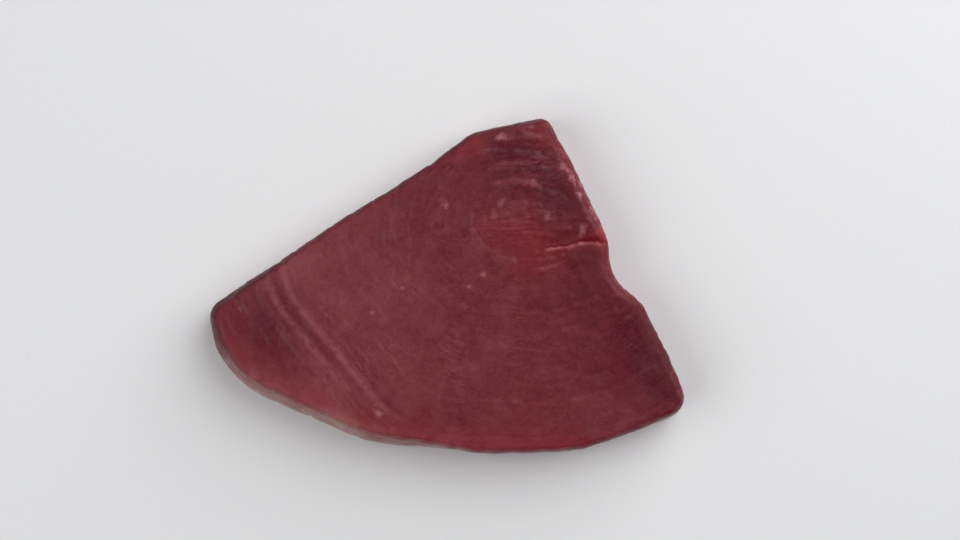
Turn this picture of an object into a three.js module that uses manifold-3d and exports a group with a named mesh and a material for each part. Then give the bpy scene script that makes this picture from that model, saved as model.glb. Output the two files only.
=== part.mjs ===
// A raw tuna steak: one thick slice cut straight across a loin, lying on its lower cut face.
// Millimetres, +Z up, X along the slice's length and Y across it, origin under the middle of the slice.
//
// Two solids are intersected. The slab is a round of flesh built in nested muscle rings about an eye
// that lies off centre, under the crown: its upper face carries the rings as low ridges with a groove
// between each two. The block is the slice's outline with a rounded rim, leaning side walls and a flat
// base. A gape, where two rings have parted, is then cut in from the flank.

import * as THREE from "three";
import { mergeVertices } from "three/addons/utils/BufferGeometryUtils.js";
import Module from "manifold-3d";

const { degToRad, lerp, clamp } = THREE.MathUtils;

// Driving dimensions.
const THICKNESS = 17; // from the base to the middle of the upper face
const TIP_FALL = 1.6; // how much thinner the slice is at its tip
const RIM_INSET = 2.6; // width of the rounding round the upper face
const RIM_DROP = 2.6; // height of it
const RIM_CLEAR = 0.3; // how far above the ridges the rounding starts
const WALL_BULGE = 0.5; // how far the side wall swells at half its height
const FOOT_HEIGHT = 1.5; // height of the rounding under the side wall
const FOOT_INSET = 1.1; // width of it
const MOST_STEP = 3.0; // longest step along the outline
const MOST_TURN = degToRad(24); // sharpest step round a corner
const SEAM = 0.01; // detail smaller than this is smoothed out of the cut faces
const HUB = { x: 10.7, y: -0.2 }; // a point inside, from which the whole outline is in plain view

// The rim's outline, counter-clockwise from the tip. round is the corner's radius, and lean is how far
// the foot of the wall stands out beyond the rim there.
const CORNERS = [
  { name: "tip", x: -67.9, y: -7.7, round: 3.8, lean: 1.6 },
  { name: "lowerBelly", x: -61.1, y: -25.4, round: 26, lean: 3.3 },
  { name: "lowerCurve", x: -24.3, y: -42.5, round: 40, lean: 2.8 },
  { name: "bottom", x: 10.2, y: -47.9, round: 46, lean: 0.7 },
  { name: "bottomCurve", x: 36.8, y: -47.5, round: 30, lean: 0.5 },
  { name: "heel", x: 70.2, y: -35.5, round: 6, lean: 0.4 },
  { name: "step", x: 55.8, y: -5.6, round: 4, lean: 0.6 },
  { name: "hollow", x: 46.6, y: 1.5, round: 12, lean: 0.8 },
  { name: "flank", x: 45.7, y: 12.8, round: 6, lean: 0.8 },
  { name: "skinSide", x: 36.8, y: 30.2, round: 80, lean: 1.8 },
  { name: "crown", x: 28.5, y: 47.6, round: 1.4, lean: 0.9 },
  { name: "shoulder", x: 7.7, y: 43.7, round: 10, lean: 0.4 },
  { name: "neck", x: -7.3, y: 32.6, round: 25, lean: 0.2 },
  { name: "back", x: -35.3, y: 15.1, round: 90, lean: 0.2 },
];

// The muscle rings.
const EYE = { x: 22.7, y: 18.5 }; // their common centre
const RING_PITCH = 5.2; // between one groove and the next, straight across the rings
const RINGS = 18; // enough to cover the slice as far as its tip
const STEPS_PER_RING = 3; // a groove and two points on the ridge beside it
const SPOKES = 96; // points round a ring
const CROWN_GROOVE = 0.45; // depth of a groove near the eye
const OUTER_GROOVE = 0.22; // and far from it
const GROOVE_FADE = 34; // distance from the eye over which the one turns into the other
const EYE_RISE = 0.3; // the eye stands a little proud
const OUTER_STRETCH = 0.08; // how much longer than wide the outer rings are
const INNER_STRETCH = 0.5; // and the inner ones, on top of that
const STRETCH_FADE = 32; // distance from the eye over which that dies away
const FLAT_SIDE = degToRad(215); // the rings run flatter in this direction
const FLATTENING = 0.04;

// The gape, from its inner end to its mouth in the flank, along a slightly bent line.
const GAPE_PATH = [
  { x: 27.3, y: 10.1, wide: 0, deep: 0 },
  { x: 31.2, y: 10.9, wide: 0.5, deep: 1.6 },
  { x: 35.7, y: 11.8, wide: 0.8, deep: 2.6 },
  { x: 40.7, y: 12.5, wide: 1.0, deep: 3.4 },
  { x: 45.2, y: 12.3, wide: 1.2, deep: 4.2 },
  { x: 50.7, y: 11.8, wide: 1.6, deep: 5.4 },
];
const GAPE_RISE = 3; // how far the cutting wedge stands above the face

const FLESH = { color: 0x6c3138, roughness: 0.38, metalness: 0 };

const at = (from, reach, angle) => [
  from.x + reach * Math.cos(angle),
  from.y + reach * Math.sin(angle),
];

// How much longer a ring reaches in one direction than it does straight across.
function stretchAt(reach, angle) {
  const near = Math.exp(-((reach / STRETCH_FADE) ** 2));
  const off = angle - FLAT_SIDE;
  const flat = FLATTENING * Math.cos(6 * off) * Math.max(0, Math.cos(off)) ** 2;
  return (OUTER_STRETCH + INNER_STRETCH * near) * Math.cos(angle) ** 2 - flat * (1 - near);
}

// Which ring a point of the face lies on: 0 at the eye, 1 at the first groove, and so on.
function ringAt(x, y) {
  const reach = Math.hypot(x - EYE.x, y - EYE.y);
  const angle = Math.atan2(y - EYE.y, x - EYE.x);
  return reach / (1 + stretchAt(reach, angle)) / RING_PITCH;
}

// The distance from the eye, in one direction, to a given ring.
function reachOf(ring, angle) {
  let near = 0;
  let far = ring * RING_PITCH * (1 + OUTER_STRETCH + INNER_STRETCH + FLATTENING);
  for (let halving = 0; halving < 24; halving++) {
    const reach = (near + far) / 2;
    if (ringAt(...at(EYE, reach, angle)) < ring) near = reach;
    else far = reach;
  }
  return (near + far) / 2;
}

// The height of the upper face without its grooves: a slow swell, thinner towards the tip.
function swellHeight(x, y) {
  const towardsTip = clamp((EYE.x - x) / (EYE.x - CORNERS[0].x), 0, 1);
  const swell = 0.35 * Math.sin(x / 19 + 0.6) * Math.cos(y / 16 - 0.4);
  return THICKNESS - TIP_FALL * towardsTip ** 2 + swell;
}

function faceHeight(x, y) {
  const ring = ringAt(x, y);
  const nearEye = Math.exp(-(((ring * RING_PITCH) / GROOVE_FADE) ** 2));
  const groove = Math.max(0, Math.cos(2 * Math.PI * ring)) ** 2 * Math.min(1, ring);
  const eye = EYE_RISE * Math.exp(-2 * ring ** 2);
  return swellHeight(x, y) - lerp(OUTER_GROOVE, CROWN_GROOVE, nearEye) * groove + eye;
}

// A closed skin over a stack of loops with the same number of points, drawn together to one point at
// each end. The loops run counter-clockwise, seen from the first towards the last.
function skin(first, loops, last) {
  const corners = [];
  const sides = loops[0].length;
  for (let side = 0; side < sides; side++) {
    const next = (side + 1) % sides;
    corners.push(first, loops[0][side], loops[0][next]);
    for (let row = 1; row < loops.length; row++) {
      const [above, below] = [loops[row - 1], loops[row]];
      corners.push(above[side], below[side], below[next]);
      corners.push(above[side], below[next], above[next]);
    }
    corners.push(last, loops.at(-1)[next], loops.at(-1)[side]);
  }
  const geometry = new THREE.BufferGeometry();
  geometry.setAttribute("position", new THREE.Float32BufferAttribute(corners.flat(), 3));
  return mergeVertices(geometry, 1e-4);
}

function slabGeometry() {
  const under = -THICKNESS;
  const loops = [];
  for (let step = 1; step <= RINGS * STEPS_PER_RING; step++) {
    const loop = [];
    for (let spoke = 0; spoke < SPOKES; spoke++) {
      const angle = (2 * Math.PI * spoke) / SPOKES;
      const [x, y] = at(EYE, reachOf(step / STEPS_PER_RING, angle), angle);
      loop.push([x, y, faceHeight(x, y)]);
    }
    loops.push(loop);
  }
  loops.push(loops.at(-1).map(([x, y]) => [x, y, under]));
  return skin([EYE.x, EYE.y, faceHeight(EYE.x, EYE.y)], loops, [EYE.x, EYE.y, under]);
}

// The points of the outline, with the wall's outward direction and lean at each. Corners are arcs and
// the stretches between them are straight, all in even steps.
function outline() {
  const tips = CORNERS.map((c) => new THREE.Vector2(c.x, c.y));
  const arcs = CORNERS.map(({ round, lean }, i) => {
    const toLast = tips.at(i - 1).clone().sub(tips[i]).normalize();
    const toNext = tips[(i + 1) % tips.length].clone().sub(tips[i]).normalize();
    const half = toLast.angleTo(toNext) / 2;
    const inwards = toLast.clone().add(toNext).normalize();
    const centre = tips[i].clone().addScaledVector(inwards, round / Math.sin(half));
    const start = tips[i].clone().addScaledVector(toLast, round / Math.tan(half));
    const end = tips[i].clone().addScaledVector(toNext, round / Math.tan(half));
    return { round, lean, centre, start, end, side: toLast.cross(toNext) > 0 ? -1 : 1 };
  });
  const points = [];
  arcs.forEach(({ round, lean, centre, start, end, side }, i) => {
    const from = start.clone().sub(centre).angle();
    const to = end.clone().sub(centre).angle();
    const turn = Math.atan2(Math.sin(to - from), Math.cos(to - from));
    const steps = Math.ceil(Math.abs(turn) / Math.min(MOST_TURN, MOST_STEP / round));
    for (let step = 0; step <= steps; step++) {
      const angle = from + (turn * step) / steps;
      const [x, y] = at(centre, round, angle);
      points.push({ x, y, outX: side * Math.cos(angle), outY: side * Math.sin(angle), lean });
    }
    const next = arcs[(i + 1) % arcs.length];
    const { outX, outY } = points.at(-1);
    const straights = Math.ceil(end.distanceTo(next.start) / MOST_STEP);
    for (let step = 1; step < straights; step++) {
      const share = step / straights;
      const { x, y } = end.clone().lerp(next.start, share);
      points.push({ x, y, outX, outY, lean: lerp(lean, next.lean, share ** 2 * (3 - 2 * share)) });
    }
  });
  return points;
}

// The slice's rim, walls and base. The rounding of the rim starts above the face, so that the slab's
// ridges run out into it.
function blockGeometry() {
  const points = outline().map((point) => {
    const { x, y, outX, outY } = point;
    const reach = Math.hypot(x - HUB.x, y - HUB.y);
    const angle = Math.atan2(y - HUB.y, x - HUB.x);
    const facing = Math.cos(angle) * outX + Math.sin(angle) * outY;
    const inset = RIM_INSET / facing;
    const top = swellHeight(...at(HUB, reach - inset, angle)) + RIM_CLEAR;
    return { ...point, reach, angle, inset, top };
  });
  const loop = (place) => points.map((point) => place(point));
  const wall = (share, inwards, height) =>
    loop(({ x, y, outX, outY, lean, top }) => {
      const out = lean * share + WALL_BULGE * Math.sin(Math.PI * share) - inwards;
      return [x + out * outX, y + out * outY, height ?? lerp(top - RIM_DROP, FOOT_HEIGHT, share)];
    });
  const loops = [0, 22, 45, 67].map((degrees) =>
    loop(({ reach, angle, inset, top }) => {
      const turn = degToRad(degrees);
      const across = at(HUB, reach - inset * (1 - Math.sin(turn)), angle);
      return [...across, top - RIM_DROP * (1 - Math.cos(turn))];
    }),
  );
  loops.push(wall(0, 0), wall(0.33, 0), wall(0.66, 0), wall(1, 0));
  loops.push(wall(1, 0.3 * FOOT_INSET, 0.3 * FOOT_HEIGHT), wall(1, FOOT_INSET, 0));
  return skin([HUB.x, HUB.y, THICKNESS + 3], loops, [HUB.x, HUB.y, 0]);
}

// A wedge along the gape's line, wide at the top and sharp at the bottom.
function gapeGeometry() {
  const sections = GAPE_PATH.slice(1).map(({ x, y, wide, deep }, i) => {
    const last = GAPE_PATH[i];
    const along = new THREE.Vector2(x - last.x, y - last.y).normalize();
    const top = faceHeight(x, y);
    const spread = (wide / 2) * (1 + GAPE_RISE / deep);
    return [
      [x - along.y * spread, y + along.x * spread, top + GAPE_RISE],
      [x, y, top - deep],
      [x + along.y * spread, y - along.x * spread, top + GAPE_RISE],
    ];
  });
  const [start, end] = [GAPE_PATH[0], GAPE_PATH.at(-1)];
  const first = [start.x, start.y, faceHeight(start.x, start.y) + 0.1];
  return skin(first, sections, [end.x, end.y, THICKNESS]);
}

const wasm = await Module();
wasm.setup();

function toSolid(geometry) {
  const vertProperties = geometry.attributes.position.array;
  const triVerts = new Uint32Array(geometry.index.array);
  return new wasm.Manifold(new wasm.Mesh({ numProp: 3, vertProperties, triVerts }));
}

function toGeometry(solid) {
  const mesh = solid.getMesh();
  const geometry = new THREE.BufferGeometry();
  geometry.setAttribute("position", new THREE.BufferAttribute(mesh.vertProperties, 3));
  geometry.setIndex(new THREE.BufferAttribute(mesh.triVerts, 1));
  geometry.computeVertexNormals();
  return geometry;
}

const slice = toSolid(slabGeometry()).intersect(toSolid(blockGeometry()));
const gaping = slice.subtract(toSolid(gapeGeometry())).simplify(SEAM);
const steak = new THREE.Mesh(toGeometry(gaping), new THREE.MeshStandardMaterial(FLESH));
steak.name = "steak";

const group = new THREE.Group();
group.add(steak);
export default group;
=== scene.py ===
"""A raw tuna steak, finished: dark wet flesh cut straight across its muscle rings, a gape where two
rings have parted in the flank, and the pale membrane that is left down two of its sides, made paler on the
lower left with painted light.

Named sizes are in millimetres, and the meshes in metres. Colours are given as they look on a screen."""

import math
from contextlib import contextmanager

import bmesh
import bpy
import numpy as np
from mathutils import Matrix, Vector, noise
from mathutils.kdtree import KDTree


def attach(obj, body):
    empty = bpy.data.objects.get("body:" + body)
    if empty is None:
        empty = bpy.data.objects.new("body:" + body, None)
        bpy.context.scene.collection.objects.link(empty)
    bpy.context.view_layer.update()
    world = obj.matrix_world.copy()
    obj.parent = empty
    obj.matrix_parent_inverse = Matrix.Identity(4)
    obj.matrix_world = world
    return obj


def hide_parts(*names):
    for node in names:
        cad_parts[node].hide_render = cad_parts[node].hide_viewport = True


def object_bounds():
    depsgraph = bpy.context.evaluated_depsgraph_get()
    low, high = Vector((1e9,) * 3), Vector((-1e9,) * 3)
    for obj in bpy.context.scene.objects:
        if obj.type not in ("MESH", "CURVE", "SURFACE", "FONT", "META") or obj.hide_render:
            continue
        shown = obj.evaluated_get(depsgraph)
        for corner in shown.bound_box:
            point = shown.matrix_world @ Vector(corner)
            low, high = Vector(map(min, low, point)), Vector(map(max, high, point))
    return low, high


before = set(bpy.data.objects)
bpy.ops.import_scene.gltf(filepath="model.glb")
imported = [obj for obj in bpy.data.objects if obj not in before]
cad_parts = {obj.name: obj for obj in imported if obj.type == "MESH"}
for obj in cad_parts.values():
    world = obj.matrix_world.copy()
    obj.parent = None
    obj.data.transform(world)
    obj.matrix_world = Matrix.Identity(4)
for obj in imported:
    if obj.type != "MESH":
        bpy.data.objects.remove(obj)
solid_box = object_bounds()
steak_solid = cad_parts["steak"]

MM = 0.001

# The slice.
THICKNESS = 17.0  # from the base to the middle of the upper face
TIP_FALL = 1.6  # how much thinner it is at the tip
TIP_X = -67.9
SWELL = 0.35  # how far the upper face swells up and down
SWELL_SPREAD = (19.0, 16.0)  # how far one radian of that swell reaches, along X and along Y
SWELL_START = (0.6, -0.4)  # its angles at the origin
HUB = (10.7, -0.2)  # bearings round the rim are taken from here

# Its muscle rings: their common centre, the eye, and how they stretch about it.
EYE = (22.7, 18.5)
RING_PITCH = 5.2
OUTER_STRETCH = 0.08
INNER_STRETCH = 0.5
STRETCH_FADE = 32.0
FLAT_SIDE = math.radians(215)
FLATTENING = 0.04
RING_SLANT = (0.30, 0.14)  # how far the rings shift for each millimetre below the face

# The gape: the line of its lower lip, from its inner end to its mouth. At each point: x, y, how far the
# upper side has drawn back from the lip, and the depth.
GAPE_PATH = [
    (27.4, 10.0, 0.05, 0.1),
    (29.6, 10.8, 0.40, 0.7),
    (32.8, 11.0, 0.55, 1.0),
    (35.3, 11.5, 0.60, 1.2),
    (37.9, 12.3, 1.10, 1.5),
    (40.1, 12.5, 1.70, 1.9),
    (43.0, 12.3, 2.20, 2.3),
    (46.0, 12.1, 2.50, 2.7),
    (50.0, 11.8, 2.80, 3.0),
]
MOUTH = (44.1, 12.5, 16.0)  # where it runs out over the rim

# A faint split beside it: x, y, and half its width.
SPLIT_PATH = [
    (23.9, 5.4, 0.05),
    (27.6, 5.4, 0.18),
    (30.2, 6.0, 0.20),
    (32.6, 6.9, 0.12),
    (34.5, 7.8, 0.05),
]

SKIN_SIDE = (26, 68, 3)  # the flank with a silvery membrane, as a stretch of bearings from the hub


# ---------------------------------------------------------------- measuring the slice

NOISE_REACH = 1.6  # Blender's noise times this swings between about -1 and 1
SEED_STRIDE = (17.3, -9.1, 5.7)  # one seed's patch of noise lies this far from the next one's

# Random swings over the slice: how far each goes, its size across, how fast it changes upright compared
# with across, and its seed.
SWINGS = {
    "rings bend": (0.16, 15.0, 1.0, 1),
    "rings waver": (0.05, 4.0, 1.0, 2),
    "grooves fade": (0.90, 9.0, 1.0, 3),
    "broad lumps": (0.15, 17.0, 0.0, 4),
    "small lumps": (0.07, 5.5, 0.0, 5),
    "pimples": (0.02, 1.6, 1.0, 6),
    "hollows of the base": (1.00, 11.0, 0.0, 7),
    "swell of the wall": (0.16, 13.0, 0.6, 8),
    "fine strands": (0.07, 1.3, 0.14, 9),
    "strands": (0.12, 4.5, 0.2, 10),
    "ragged gape": (0.20, 1.5, 1.0, 11),
    "finely ragged gape": (0.07, 0.5, 1.0, 12),
    "ragged split": (0.20, 1.6, 1.0, 13),
    "ragged spots": (0.50, 1.1, 1.0, 14),
    "uneven lip": (0.70, 2.6, 1.0, 15),
    "torn fibres": (1.00, 1.0, 0.0, 16),
    "nibbles": (1.00, 2.4, 1.0, 17),
    "fine nibbles": (0.50, 1.2, 1.0, 18),
    "membrane": (1.00, 5.0, 1.0, 19),
    "fine membrane": (0.50, 1.7, 1.0, 20),
    "ragged ends of the belly": (4.00, 5.0, 0.4, 21),
}


def smooth_step(low, high, value):
    share = np.clip((value - low) / (high - low), 0, 1)
    return share * share * (3 - 2 * share)


def bell(distance, width):
    return np.exp(-((distance / width) ** 2))


def swing(name, points):
    """One of the random swings, at each point."""
    reach, size, upright, seed = SWINGS[name]
    start = Vector([seed * stride for stride in SEED_STRIDE])
    places = points * (1, 1, upright)
    return reach * (np.array([noise.noise(Vector(p) / size + start) for p in places]) * NOISE_REACH)


def ring_at(x, y):
    """Which muscle ring a point lies on: 0 at the eye, 1 at the first groove, and so on."""
    reach = np.hypot(x - EYE[0], y - EYE[1])
    angle = np.arctan2(y - EYE[1], x - EYE[0])
    near = bell(reach, STRETCH_FADE)
    off = angle - FLAT_SIDE
    flat = FLATTENING * np.cos(6 * off) * np.maximum(0, np.cos(off)) ** 2
    stretch = (OUTER_STRETCH + INNER_STRETCH * near) * np.cos(angle) ** 2 - flat * (1 - near)
    return reach / (1 + stretch) / RING_PITCH


def swell_height(x, y):
    """The height of the upper face without its relief."""
    towards_tip = np.clip((EYE[0] - x) / (EYE[0] - TIP_X), 0, 1)
    along = np.sin(x / SWELL_SPREAD[0] + SWELL_START[0])
    across = np.cos(y / SWELL_SPREAD[1] + SWELL_START[1])
    return THICKNESS - TIP_FALL * towards_tip**2 + SWELL * along * across


def bearing(x, y, centre):
    return np.degrees(np.arctan2(y - centre[1], x - centre[0])) % 360


def between(angles, first, last, soft):
    """1 between two bearings, in degrees, and 0 outside them."""
    off = np.abs((angles - (first + last) / 2 + 180) % 360 - 180)
    return 1 - smooth_step((last - first) / 2 - soft, (last - first) / 2 + soft, off)


def oval(points, patch):
    """1 in the middle of an oval patch of the face, and less and less away from it."""
    middle_x, middle_y, half_x, half_y = patch
    return bell(np.hypot((points[:, 0] - middle_x) / half_x, (points[:, 1] - middle_y) / half_y), 1)


def along_path(points, path):
    """For each point: its signed distance from a path, positive on its left, and then the values that
    the path gives besides x and y, as they are beside the point."""
    x, y, _ = points.T
    nearest = np.full(len(x), np.inf)
    signed, *beside = np.zeros((len(path[0]) - 1, len(x)))
    for (x0, y0, *values0), (x1, y1, *values1) in zip(path, path[1:]):
        length = math.hypot(x1 - x0, y1 - y0)
        ux, uy = (x1 - x0) / length, (y1 - y0) / length
        step = np.clip((x - x0) * ux + (y - y0) * uy, 0, length)
        away = np.hypot(x - x0 - ux * step, y - y0 - uy * step)
        side = np.sign(ux * (y - y0) - uy * (x - x0))
        closer = away < nearest
        np.copyto(nearest, away, where=closer)
        np.copyto(signed, side * away, where=closer)
        for value, value0, value1 in zip(beside, values0, values1):
            np.copyto(value, value0 + (value1 - value0) * step / length, where=closer)
    return signed, *beside


# ---------------------------------------------------------------- the body

MERGE = 0.002  # corners of the solid closer than this are one
PLUG_HALF = 0.85  # the plug for the solid's gape spans the corners this close to its line,
PLUG_DEPTH = 3.5  # down to this far below the depth that GAPE_PATH gives
SQUARE = 1.1  # side of the even squares, before they are halved once
EVEN_ROUNDS = 5
FINE_REACHES = (1.5, 0.9)  # the squares are halved again within each of these of the gape's line,
FINE_DEPTH = 6.5  # this far down
SLIT_REACH = 0.9  # the small faces of the opened gape are evened out this close to its line,
SLIT_DEPTH = 5.0  # this far down,
SLIT_ROUNDS = 2  # in so many rounds,
MOUTH_REACH = 1.9  # and again this close to its mouth
MOUTH_ROUNDS = 20


@contextmanager
def edited(mesh):
    """The mesh to edit, written back when the work on it is done."""
    bm = bmesh.new()
    bm.from_mesh(mesh)
    yield bm
    bm.to_mesh(mesh)
    bm.free()


def new_mesh(bm, name):
    mesh = bpy.data.meshes.new(name)
    bm.to_mesh(mesh)
    bm.free()
    return mesh


def into_scene(name, data):
    thing = bpy.data.objects.new(name, data)
    bpy.context.scene.collection.objects.link(thing)
    return thing


def coordinates(mesh):
    flat = np.empty(len(mesh.vertices) * 3)
    mesh.vertices.foreach_get("co", flat)
    return flat.reshape(-1, 3) / MM


def directions(mesh):
    flat = np.empty(len(mesh.vertices) * 3)
    mesh.vertex_normals.foreach_get("vector", flat)
    return flat.reshape(-1, 3)


def place(mesh, points):
    mesh.vertices.foreach_set("co", (points * MM).ravel())
    mesh.update()


def corner_places(bm):
    return np.array([v.co for v in bm.verts]) / MM


def chosen(bm, wanted):
    bm.verts.ensure_lookup_table()
    return [bm.verts[i] for i in np.flatnonzero(wanted)]


def only_points(geometry):
    return [part for part in set(geometry) if isinstance(part, bmesh.types.BMVert)]


def even_out(bm, verts, rounds):
    every_way = {"use_axis_x": True, "use_axis_y": True, "use_axis_z": True}
    for _ in range(rounds):
        bmesh.ops.smooth_vert(bm, verts=verts, factor=0.5, **every_way)


def closed_body():
    """The solid's own surface, merged, with its gape filled by a plug that fits it."""
    bm = bmesh.new()
    bm.from_mesh(steak_solid.data)
    bmesh.ops.remove_doubles(bm, verts=bm.verts, dist=MERGE * MM)
    points = corner_places(bm)
    signed, _, deep = along_path(points, GAPE_PATH)
    rims = chosen(bm, (np.abs(signed) < PLUG_HALF) & (points[:, 2] > THICKNESS - deep - PLUG_DEPTH))
    corners = only_points(bmesh.ops.duplicate(bm, geom=rims)["geom"])
    hull = bmesh.ops.convex_hull(bm, input=corners)
    spare = only_points(hull["geom_interior"] + hull["geom_unused"])
    bmesh.ops.delete(bm, geom=spare, context="VERTS")
    return new_mesh(bm, "steak_core")


def even_mesh(mesh):
    """The same form in small even squares, smaller still beside the gape."""
    core = into_scene("steak_core", mesh)
    squares = core.modifiers.new("Squares", "REMESH")
    squares.mode = "VOXEL"
    squares.voxel_size = SQUARE * MM
    finer = core.modifiers.new("Finer", "SUBSURF")
    finer.levels = finer.render_levels = 1
    bpy.context.view_layer.update()
    done = bpy.data.meshes.new_from_object(core.evaluated_get(bpy.context.evaluated_depsgraph_get()))
    bpy.data.objects.remove(core)
    bpy.data.meshes.remove(mesh)
    with edited(done) as bm:
        even_out(bm, bm.verts, EVEN_ROUNDS)
        for reach in FINE_REACHES:
            points = corner_places(bm)
            signed, _, _ = along_path(points, GAPE_PATH)
            near = (np.abs(signed) < reach) & (points[:, 2] > THICKNESS - FINE_DEPTH)
            edges = [e for e in bm.edges if near[e.verts[0].index] and near[e.verts[1].index]]
            bmesh.ops.subdivide_edges(bm, edges=edges, cuts=1, use_grid_fill=True)
            bm.verts.index_update()
        bmesh.ops.recalc_face_normals(bm, faces=bm.faces)
    return done


def relax_gape(mesh):
    """Evens out the small faces in the gape, most of all at its mouth, where it runs over the rim."""
    with edited(mesh) as bm:
        points = corner_places(bm)
        signed, _, _ = along_path(points, GAPE_PATH)
        slit = (np.abs(signed) < SLIT_REACH) & (points[:, 2] > THICKNESS - SLIT_DEPTH)
        mouth = np.linalg.norm(points - MOUTH, axis=1) < MOUTH_REACH
        even_out(bm, chosen(bm, slit), SLIT_ROUNDS)
        even_out(bm, chosen(bm, mouth), MOUTH_ROUNDS)


def fit_to_solid(points):
    """Draws the finished surface in to the solid's own box."""
    low, high = (np.array(corner) / MM for corner in solid_box)
    own_low, own_high = points.min(0), points.max(0)
    return low + (points - own_low) * (high - low) / (own_high - own_low)


# ---------------------------------------------------------------- relief

# The upper face and the base are told by the upright part of their normal, from where they start to
# where they are full, and by their height.
FACING_UP = (0.80, 0.97)
FACING_DOWN = (0.85, 0.98)
UPPER_HALF = 8.0
FOOT = 4.0
FLOOR_CLEAR = 1.0  # below this height the walls move only sideways

# The arcs: the rings at the crown, which are cut deeper.
ARCS_REACH = 26.0
ARCS_BEARINGS = (30, 140, 25)  # from the eye
ARCS_START = (1.2, 2.2)  # in rings

# The grooves between the rings, and the fine ones among them at the crown.
GROOVE_SHARPNESS = 4
GROOVES_START = (0.9, 1.8)  # in rings
GROOVE_DEPTH = 0.08
ARCS_DEPTH = 0.24  # on top of that in the arcs
WALL_GROOVE_DEPTH = 0.22
BASE_GROOVE_DEPTH = 0.16
BASE_HOLLOW_DEPTH = 0.10
FINE_SHARPNESS = 6
FINE_SHIFT = 2.2  # radians
FINE_GROOVE_DEPTH = 0.12
LIVELY_MIDDLE = 0.75  # how strong a groove is, before it fades and gains along its way
LIVELY_LIMITS = (0.1, 1.6)

# Each ring stands a little higher or lower than the next.
STEP_HEIGHT = 0.05
STEP_TURN = 2.4  # radians from one ring to the next
STEP_EDGE = (0.35, 0.65)  # shares of a ring
EYE_HEIGHT = 0.12

# Torn fibres by the crown's point.
TORN_PATCH = (28.5, 35.5, 8.5, 6.5)  # its middle, and half its size
TORN_TURN = 24  # degrees
TORN_LENGTH = 2.6
TORN_WIDTH = 0.9
TORN_HEIGHT = 0.12
TORN_LIMITS = (-1, 0.6)

# The nibbled rim: the upright part of the normal in the middle of each band, and half its width.
NIBBLES_ROUND = (0.62, 0.30)
NIBBLES_EDGE = (0.90, 0.12)
NIBBLES_IN = 0.22
NIBBLES_DOWN = 0.18
NIBBLES_MOST = 1.2

SEAM_HEIGHT = 0.09
MEMBRANE_HEIGHT = 0.16
MEMBRANE_EDGE = (-0.2, 0.5)
SPECK_HEIGHT = 0.06
PIT_DEPTH = 0.14

# Pale sheets that show along part of a ring: the ring, the bearings from the eye that they run between,
# half their width, and their strength.
SEAMS = {
    "outer seam": (12.36, 188, 235, 0.85, 0.95),
    "outer seam, inner edge": (12.08, 196, 228, 0.30, 0.4),
    "second seam": (13.28, 192, 221, 0.85, 0.90),
    "third seam": (12.86, 218, 240, 0.32, 0.45),
    "fourth seam": (12.60, 224, 243, 0.25, 0.40),
    "belly seam": (13.75, 200, 219, 0.30, 0.30),
    "upper arc": (3.16, 84, 118, 0.55, 0.70),
    "lower arc": (2.18, 74, 134, 0.50, 0.75),
    "crown arc": (4.60, 70, 102, 0.60, 0.40),
}
DARK_SEAMS = {
    "between the seams": (12.84, 194, 226, 0.8, 0.5),
    "inside the outer seam": (11.95, 196, 236, 0.6, 0.3),
    "under the lower arc": (1.75, 48, 125, 0.7, 0.60),
    "under the upper arc": (2.75, 45, 125, 0.9, 1.0),
    "under the crown arc": (3.78, 45, 118, 1.3, 1.0),
}
SEAM_ENDS = 7  # degrees over which a seam fades at each end

# Pale specks: x, y, half length along the rings, strength.
SPECKS = [
    (-19.4, -36.4, 1.1, 0.9),
    (-12.6, -0.6, 0.5, 0.7),
    (-21.4, -7.8, 0.45, 0.7),
    (15.5, 42.4, 1.5, 1.2),
    (24.9, 28.9, 1.4, 0.6),
    (15.4, 23.6, 1.4, 0.5),
    (28.8, 19.6, 1.3, 0.5),
    (24.2, 45.3, 0.9, 0.9),
    (0.0, 22.7, 0.9, 1.0),
    (10.5, 3.1, 0.7, 1.0),
    (6.5, -0.3, 0.7, 0.7),
    (38.8, 15.9, 1.6, 0.8),
    (13.4, 20.2, 1.6, 0.4),
    (11.0, 18.6, 0.8, 0.4),
    (33.2, 33.8, 1.4, 0.8),
    (35.2, 31.0, 0.6, 1.0),
    (38.0, 25.6, 0.9, 1.0),
]

# Small dark pits: x, y, half length, strength. The one just above the gape's lip, at (38.6, 14.2), is a
# painted shadow.
PITS = [
    (35.7, 16.9, 0.6, 1.0),
    (38.6, 14.2, 0.6, 1.0),
    (31.2, 8.4, 0.7, 0.8),
    (29.0, 8.9, 0.5, 0.8),
    (33.4, 9.2, 0.8, 1.0),
    (42.1, 21.6, 0.5, 1.0),
    (43.0, 18.9, 0.5, 1.0),
    (13.0, 28.4, 0.8, 0.7),
]
SPOT_SLIMNESS = 0.4  # a spot's half width, as a share of its half length,
SPOT_WIDTH = 0.25  # and what is added to that
SPOT_EDGE = (0.2, 1.6)  # shares of its size, from full strength to none
SPOTS_ABOVE = 10.0

# The opened gape. Places across it are counted from its lower lip's line, towards its upper side.
GAPE_ROOM = 1.5  # the flesh under the gape gives way down to this far below its depth
SLOPE_START = (-0.25, 0.05)  # where the slope of its upper side starts, and where it is full
SLOPE_SHARE = 0.36  # of its depth
SLIT_PLACE = 0.12
SLIT_HALF = 0.26
SLIT_SHARE = 0.17  # of its depth
SLIT_SHOWS = (0.1, 0.4)  # the gape's width where the slit starts to show, and where it is full
WALL_HOLD = 0.8  # how much less it sinks in the flank's wall,
WALL_SLOPE = 0.8  # and how far the slope goes into the wall instead,
WALL_SLIT = 0.6  # and the slit
LIP_PLACE = -0.42
LIP_HALF = 0.52
LIP_HEIGHT = 0.18
LIP_SHOWS = (0.05, 0.30)  # the gape's width where the lip starts to show, and where it is full
LIP_FADES = [(1.1, 1.6, 0.2), (2.1, 2.4, 0.45)]  # where it fades again: the widths, and by how much
LIP_MIDDLE = 0.8  # how strong the lip is, before it varies along its way
LIP_LIMITS = (0.25, 1.1)
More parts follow.
